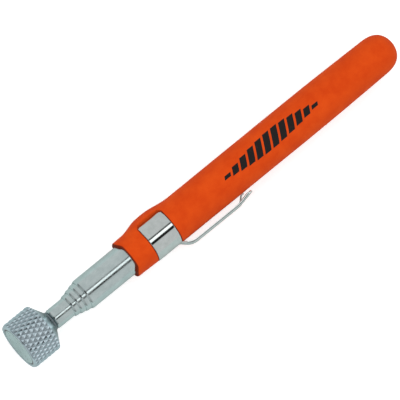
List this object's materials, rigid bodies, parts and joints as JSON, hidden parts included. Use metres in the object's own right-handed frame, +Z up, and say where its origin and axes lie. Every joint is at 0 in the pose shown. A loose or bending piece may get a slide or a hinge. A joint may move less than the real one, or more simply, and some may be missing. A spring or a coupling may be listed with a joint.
{
  "type": "telescopic magnetic pick-up tool",
  "caption": "Telescopic magnetic pick-up tool: a knurled magnet head on a plated tube that slides out of a soft grip sleeve with a pocket clip.",
  "frame": {"origin": "centre of the magnet's face, on the tool's axis, with the tool closed", "axes": "-X out of the magnet's face, +X along the tool towards the grip's round end, the clip's arm on the -Y side, +Z up; the tool lies along X"},
  "size_m": [0.215, 0.0252, 0.0234],
  "materials": {
    "knurled_steel": "bright plated, knurled",
    "magnet_plate": "satin plated",
    "plastic_ring": "grey moulded",
    "plated_tube": "bright plated",
    "bare_steel": "turned",
    "spring_bronze": "spring bronze",
    "black_nylon": "moulded",
    "orange_foam": "matt, fine grained",
    "clip_chrome": "polished plate"
  },
  "bodies": {
    "handle": {"section_1": "plated_tube", "end_plug": "black_nylon", "grip_sleeve": "orange_foam", "clip_bush": "black_nylon", "clip_band": "clip_chrome"},
    "clip_arm": {"clip_arm": "clip_chrome"},
    "tube_2": {"section_2": "plated_tube", "friction_sleeve_2": "spring_bronze"},
    "tube_3": {"section_3": "plated_tube", "friction_sleeve_3": "spring_bronze"},
    "tube_4": {"section_4": "plated_tube", "friction_sleeve_4": "spring_bronze"},
    "tube_5": {"section_5": "plated_tube", "friction_sleeve_5": "spring_bronze", "nose_plug": "bare_steel"},
    "head": {"magnet_cup": "knurled_steel", "magnet_disc": "magnet_plate", "magnet_spacer": "plastic_ring", "yoke_plate": "bare_steel", "head_rivet": "bare_steel", "rivet_washer": "bare_steel"}
  },
  "joints": [
    {"name": "section_2_slide", "type": "slide", "parent": "handle", "child": "tube_2", "axis": [-1, 0, 0], "range_m": [0, 0.152]},
    {"name": "section_3_slide", "type": "slide", "parent": "tube_2", "child": "tube_3", "axis": [-1, 0, 0], "range_m": [0, 0.152]},
    {"name": "section_4_slide", "type": "slide", "parent": "tube_3", "child": "tube_4", "axis": [-1, 0, 0], "range_m": [0, 0.152]},
    {"name": "section_5_slide", "type": "slide", "parent": "tube_4", "child": "tube_5", "axis": [-1, 0, 0], "range_m": [0, 0.152]},
    {"name": "head_turn", "type": "hinge", "parent": "tube_5", "child": "head", "pos_m": [0.0189, 0, 0], "axis": [1, 0, 0], "continuous": true},
    {"name": "clip_flex", "type": "hinge", "parent": "handle", "child": "clip_arm", "pos_m": [0.0831, -0.0092, 0], "axis": [0, 0, -1], "range_deg": [0, 6], "stiffness_Nm_per_rad": 0.5, "springref_deg": -2.86}
  ]
}
